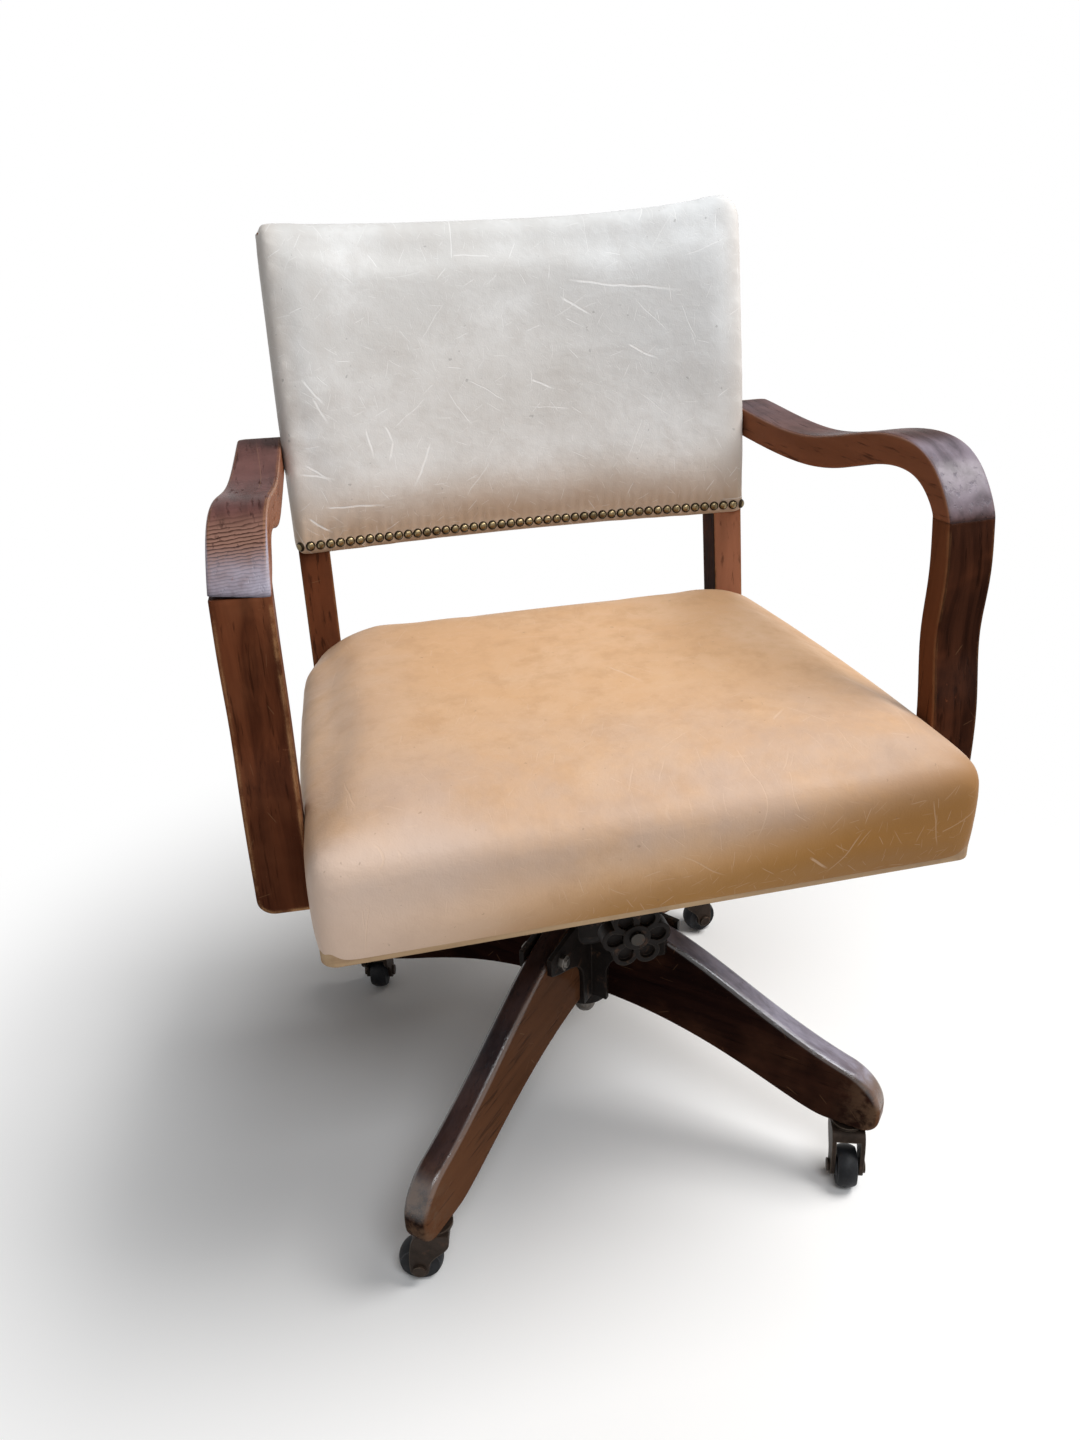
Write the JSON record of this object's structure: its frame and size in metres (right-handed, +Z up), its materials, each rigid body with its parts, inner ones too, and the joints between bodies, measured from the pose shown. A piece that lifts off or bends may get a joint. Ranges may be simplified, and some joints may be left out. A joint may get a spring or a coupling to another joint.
{
  "type": "swivel desk armchair",
  "caption": "Swivel and tilt desk armchair with bent wooden arms, leather seat and nailed leather back on a wooden-legged pedestal with casters.",
  "frame": {"origin": "on the floor under the swivel axis", "axes": "+Z up along the swivel axis, -Y the way the sitter faces, +X to the right of a viewer in front"},
  "size_m": [0.5978, 0.551, 0.8511],
  "materials": {
    "arm_oak": "dark stained oak, worn satin",
    "leg_oak": "dark stained oak, polished",
    "frame_wood": "plain sawn softwood",
    "seat_leather": "tan, scratched",
    "back_leather": "pale grey, scratched",
    "hub_iron": "brown-black paint",
    "caster_iron": "dark worn",
    "steel": "dull, oiled",
    "spring_steel": "dark oiled",
    "wheel": "black, worn",
    "brass": "antique"
  },
  "bodies": {
    "base": {"hub_casting": "hub_iron", "leg_front_left": "leg_oak", "leg_front_right": "leg_oak", "leg_rear_left": "leg_oak", "leg_rear_right": "leg_oak", "leg_bolts": "steel", "caster_sockets": "caster_iron", "thrust_washer": "steel"},
    "swivel": {"swivel_sleeve": "hub_iron"},
    "lift_nut": {"lift_nut": "hub_iron"},
    "spindle": {"spindle": "steel", "tilt_yoke": "hub_iron", "pivot_pin": "steel", "pivot_nut": "steel", "tension_rod": "steel", "tension_spring": "spring_steel"},
    "spring_washer": {"spring_washer": "steel"},
    "tension_knob": {"tension_knob": "hub_iron"},
    "seat": {"seat_spider": "hub_iron", "spider_screws": "steel", "front_rail": "frame_wood", "rear_rail": "frame_wood", "left_rail": "frame_wood", "right_rail": "frame_wood", "corner_blocks": "frame_wood", "seat_bearers": "frame_wood", "seat_board": "frame_wood", "seat_cushion": "seat_leather", "left_stile": "arm_oak", "right_stile": "arm_oak", "back_top_rail": "frame_wood", "back_bottom_rail": "frame_wood", "back_pad": "back_leather", "back_panel": "back_leather", "back_nails": "brass", "left_arm": "arm_oak", "right_arm": "arm_oak", "left_arm_post": "arm_oak", "right_arm_post": "arm_oak", "arm_dowels": "frame_wood", "arm_screws": "steel", "arm_plugs": "arm_oak", "stile_bolts": "steel"},
    "caster_front_left": {"caster_fork_front_left": "caster_iron", "caster_axle_front_left": "caster_iron"},
    "wheel_front_left": {"caster_wheel_front_left": "wheel"},
    "caster_front_right": {"caster_fork_front_right": "caster_iron", "caster_axle_front_right": "caster_iron"},
    "wheel_front_right": {"caster_wheel_front_right": "wheel"},
    "caster_rear_left": {"caster_fork_rear_left": "caster_iron", "caster_axle_rear_left": "caster_iron"},
    "wheel_rear_left": {"caster_wheel_rear_left": "wheel"},
    "caster_rear_right": {"caster_fork_rear_right": "caster_iron", "caster_axle_rear_right": "caster_iron"},
    "wheel_rear_right": {"caster_wheel_rear_right": "wheel"}
  },
  "joints": [
    {"name": "seat_swivel", "type": "hinge", "parent": "base", "child": "swivel", "pos_m": [0, 0, 0.24], "axis": [0, 0, 1], "continuous": true},
    {"name": "seat_height", "type": "slide", "parent": "swivel", "child": "spindle", "axis": [0, 0, 1], "range_m": [-0.01, 0.08]},
    {"name": "lift_nut_spin", "type": "hinge", "parent": "swivel", "child": "lift_nut", "pos_m": [0, 0, 0.25], "axis": [0, 0, 1], "range_deg": [-2401, 301]},
    {"name": "seat_tilt", "type": "hinge", "parent": "spindle", "child": "seat", "pos_m": [0, 0, 0.35], "axis": [-1, 0, 0], "range_deg": [0, 14], "stiffness_Nm_per_rad": 80, "springref_deg": -8.59, "deforming": ["tension_spring"]},
    {"name": "knob_travel", "type": "slide", "parent": "spindle", "child": "spring_washer", "axis": [0, 1, 0], "range_m": [-0.003, 0.012], "deforming": ["tension_spring"]},
    {"name": "knob_spin", "type": "hinge", "parent": "spring_washer", "child": "tension_knob", "pos_m": [0, -0.16, 0.304], "axis": [0, 1, 0], "range_deg": [-360, 1440], "deforming": ["tension_spring"]},
    {"name": "caster_swivel_front_left", "type": "hinge", "parent": "base", "child": "caster_front_left", "pos_m": [-0.19236, -0.20484, 0.06], "axis": [0, 0, 1], "continuous": true},
    {"name": "wheel_spin_front_left", "type": "hinge", "parent": "caster_front_left", "child": "wheel_front_left", "pos_m": [-0.20781, -0.2007, 0.02], "axis": [-0.2588, -0.9659, 0], "continuous": true},
    {"name": "caster_swivel_front_right", "type": "hinge", "parent": "base", "child": "caster_front_right", "pos_m": [0.20484, -0.19236, 0.06], "axis": [0, 0, 1], "continuous": true},
    {"name": "wheel_spin_front_right", "type": "hinge", "parent": "caster_front_right", "child": "wheel_front_right", "pos_m": [0.19937, -0.20739, 0.02], "axis": [0.9397, -0.342, 0], "continuous": true},
    {"name": "caster_swivel_rear_left", "type": "hinge", "parent": "base", "child": "caster_rear_left", "pos_m": [-0.20484, 0.19236, 0.06], "axis": [0, 0, 1], "continuous": true},
    {"name": "wheel_spin_rear_left", "type": "hinge", "parent": "caster_rear_left", "child": "wheel_rear_left", "pos_m": [-0.20043, 0.20774, 0.02], "axis": [-0.9613, 0.2756, 0], "continuous": true},
    {"name": "caster_swivel_rear_right", "type": "hinge", "parent": "base", "child": "caster_rear_right", "pos_m": [0.19236, 0.20484, 0.06], "axis": [0, 0, 1], "continuous": true},
    {"name": "wheel_spin_rear_right", "type": "hinge", "parent": "caster_rear_right", "child": "wheel_rear_right", "pos_m": [0.20811, 0.20762, 0.02], "axis": [-0.1736, 0.9848, 0], "continuous": true}
  ],
  "couplings": [
    {"joint": "lift_nut_spin", "follows": "seat_height", "rad_per_m": -523.6},
    {"joint": "knob_travel", "follows": "knob_spin", "m_per_rad": 0.00047746}
  ]
}
